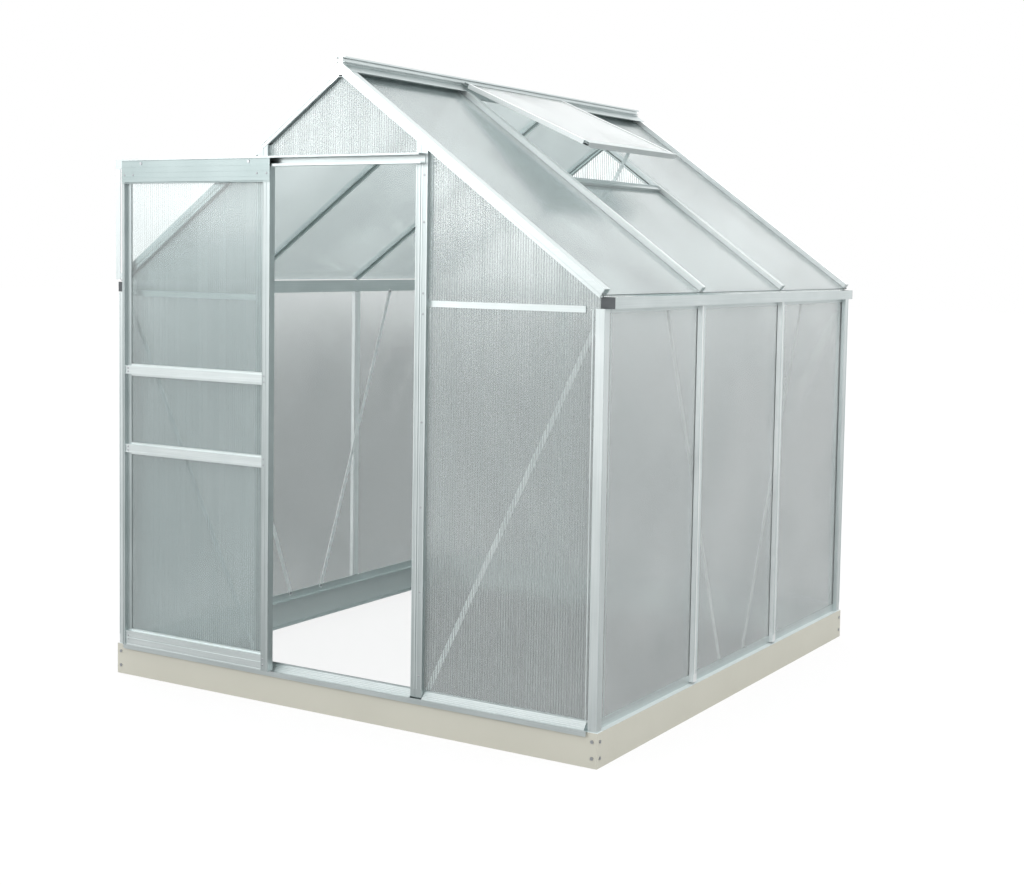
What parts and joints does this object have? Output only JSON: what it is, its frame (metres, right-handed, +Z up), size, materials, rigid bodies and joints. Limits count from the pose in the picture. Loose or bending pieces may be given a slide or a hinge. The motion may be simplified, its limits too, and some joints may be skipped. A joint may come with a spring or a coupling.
{
  "type": "greenhouse",
  "caption": "Walk-in garden greenhouse with a bolted aluminium frame on a painted steel base, twin-wall panes, a sliding door on a head track and a hinged roof vent on a stay.",
  "frame": {"origin": "centre of the base on the ground", "axes": "X to the right along the gable with the door, Y from the door gable to the rear gable, Z up"},
  "size_m": [1.853, 1.9322, 1.9876],
  "materials": {
    "aluminium": "mill-finish extrusion, lightly drawn",
    "polycarbonate": "clear twin-wall sheet with lengthwise flutes",
    "base_paint": "matte beige-grey paint on folded steel",
    "zinc_bolts": "zinc plate",
    "black_plastic": "moulded, matte",
    "nylon": "moulded nylon"
  },
  "bodies": {
    "frame": {"base_bolts": "zinc_bolts", "base_brackets": "base_paint", "base_front": "base_paint", "base_left": "base_paint", "base_rear": "base_paint", "base_right": "base_paint", "braces_gables": "aluminium", "braces_sides": "aluminium", "door_head": "aluminium", "door_jamb_left": "aluminium", "door_jamb_right": "aluminium", "door_track": "aluminium", "frame_bolts": "zinc_bolts", "gable_bars": "aluminium", "gable_pane_front": "polycarbonate", "gutter_caps": "black_plastic", "gutter_left": "aluminium", "gutter_right": "aluminium", "panes_front": "polycarbonate", "panes_left": "polycarbonate", "panes_rear": "polycarbonate", "panes_right": "polycarbonate", "post_front_left": "aluminium", "post_front_right": "aluminium", "post_rear_left": "aluminium", "post_rear_right": "aluminium", "rafter_front_left": "aluminium", "rafter_front_right": "aluminium", "rafter_rear_left": "aluminium", "rafter_rear_right": "aluminium", "rafters_left": "aluminium", "rafters_right": "aluminium", "ridge_bar": "aluminium", "roof_panes_left": "polycarbonate", "roof_panes_right": "polycarbonate", "sill_front": "aluminium", "sill_left": "aluminium", "sill_rear": "aluminium", "sill_right": "aluminium", "stay_peg": "aluminium", "studs_left": "aluminium", "studs_rear": "aluminium", "studs_right": "aluminium", "track_strut": "aluminium", "vent_sill": "aluminium"},
    "door": {"door_header": "aluminium", "door_stiles": "aluminium", "door_mid_rails": "aluminium", "door_bottom_rail": "aluminium", "door_panes": "polycarbonate", "door_axles": "zinc_bolts", "door_guides": "black_plastic"},
    "door_wheel_left": {"door_wheel_left": "nylon"},
    "door_wheel_right": {"door_wheel_right": "nylon"},
    "vent": {"vent_top_rail": "aluminium", "vent_side_bars": "aluminium", "vent_bottom_rail": "aluminium", "vent_pane": "polycarbonate"},
    "vent_stay": {"vent_stay": "aluminium"}
  },
  "joints": [
    {"name": "door_slide", "type": "slide", "parent": "frame", "child": "door", "axis": [1, 0, 0], "range_m": [0, 0.553]},
    {"name": "door_wheel_left_spin", "type": "hinge", "parent": "door", "child": "door_wheel_left", "pos_m": [-0.778, -0.96925, 1.6822], "axis": [0, 1, 0], "range_deg": [-2, 3963]},
    {"name": "door_wheel_right_spin", "type": "hinge", "parent": "door", "child": "door_wheel_right", "pos_m": [-0.328, -0.96925, 1.6822], "axis": [0, 1, 0], "range_deg": [-2, 3963]},
    {"name": "vent_hinge", "type": "hinge", "parent": "frame", "child": "vent", "pos_m": [0.0112, 0, 1.96778], "axis": [0, -1, 0], "range_deg": [-12, 27]},
    {"name": "stay_pivot", "type": "hinge", "parent": "vent", "child": "vent_stay", "pos_m": [0.46767, 0, 1.7487], "axis": [0, -1, 0], "range_deg": [-16, 8]}
  ],
  "couplings": [
    {"joint": "door_wheel_left_spin", "follows": "door_slide", "rad_per_m": 125},
    {"joint": "door_wheel_right_spin", "follows": "door_slide", "rad_per_m": 125},
    {"joint": "stay_pivot", "follows": "vent_hinge", "ratio": -0.559}
  ]
}
